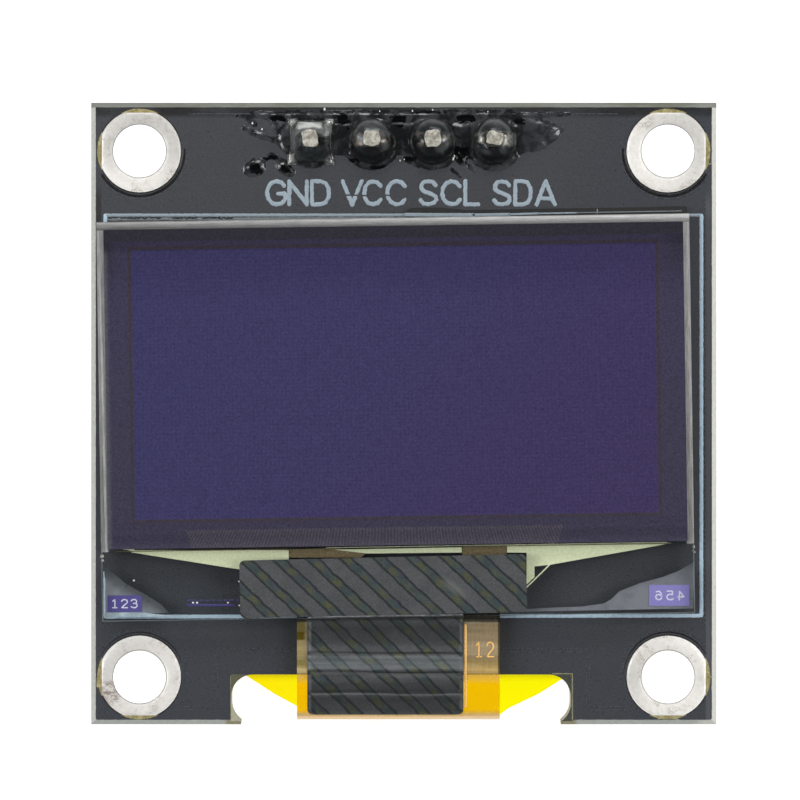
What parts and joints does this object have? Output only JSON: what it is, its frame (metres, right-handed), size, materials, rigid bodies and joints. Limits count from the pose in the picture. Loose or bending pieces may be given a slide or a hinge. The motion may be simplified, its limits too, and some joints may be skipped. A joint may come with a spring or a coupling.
{
  "type": "oled display module",
  "caption": "Small flat OLED display on a black circuit board with corner mounting holes, a pin header and a flex cable folded through a slot.",
  "frame": {"origin": "centre of the mounting-hole pattern at the circuit board's back face", "axes": "+Z out of the display's front, +Y from the display towards the pin header, +X to the right when the display is seen with the header at the top"},
  "size_m": [0.0262, 0.026, 0.0111],
  "materials": {
    "solder_mask": "black solder mask, satin gloss",
    "tin": "tinned copper, uneven",
    "solder": "solder, bright and a little grainy",
    "header_plastic": "moulded black plastic",
    "pin_plate": "brass pin with bright plating",
    "adhesive": "black adhesive tape",
    "clear_glass": "clear display glass",
    "desiccant": "pale desiccant sheet",
    "seal": "cured resin seal",
    "emitter": "thin-film layers, dark violet",
    "polariser": "dark polariser film, smooth",
    "silicon": "bare silicon die",
    "tape": "black tape with a printed diagonal pattern",
    "polyimide": "amber polyimide film over copper",
    "film_adhesive": "clear double-sided film",
    "moulded_body": "moulded epoxy",
    "lead_tin": "tinned lead frame",
    "chip_ceramic": "tan ceramic with tinned ends",
    "resistor_body": "black glaze over white ceramic with tinned ends"
  },
  "bodies": {
    "root": {"pcb": "solder_mask", "mount_pad_tl": "tin", "mount_pad_tr": "tin", "mount_pad_bl": "tin", "mount_pad_br": "tin", "pin_pad_1": "tin", "pin_pad_2": "tin", "pin_pad_3": "tin", "pin_pad_4": "tin", "solder_joint_1": "solder", "solder_joint_2": "solder", "solder_joint_3": "solder", "solder_joint_4": "solder", "header_housing": "header_plastic", "header_pin_1": "pin_plate", "header_pin_2": "pin_plate", "header_pin_3": "pin_plate", "header_pin_4": "pin_plate", "panel_adhesive": "adhesive", "cap_glass": "clear_glass", "desiccant_sheet": "desiccant", "edge_seal": "seal", "emitter_stack": "emitter", "substrate_glass": "clear_glass", "polarizer": "polariser", "driver_chip": "silicon", "ledge_tape": "tape", "flex_cable": "polyimide", "flex_tape": "tape", "flex_adhesive": "film_adhesive", "flex_solder_row": "solder", "smd_pads": "tin", "smd_solder": "solder", "regulator_body": "moulded_body", "regulator_leads": "lead_tin", "diode_body": "moulded_body", "diode_leads": "lead_tin", "capacitor_1": "chip_ceramic", "capacitor_2": "chip_ceramic", "capacitor_3": "chip_ceramic", "capacitor_4": "chip_ceramic", "capacitor_5": "chip_ceramic", "capacitor_6": "chip_ceramic", "capacitor_7": "chip_ceramic", "capacitor_8": "chip_ceramic", "resistor_1": "resistor_body", "resistor_2": "resistor_body", "resistor_3": "resistor_body", "resistor_4": "resistor_body", "resistor_5": "resistor_body", "resistor_6": "resistor_body", "resistor_7": "resistor_body"}
  },
  "joints": []
}
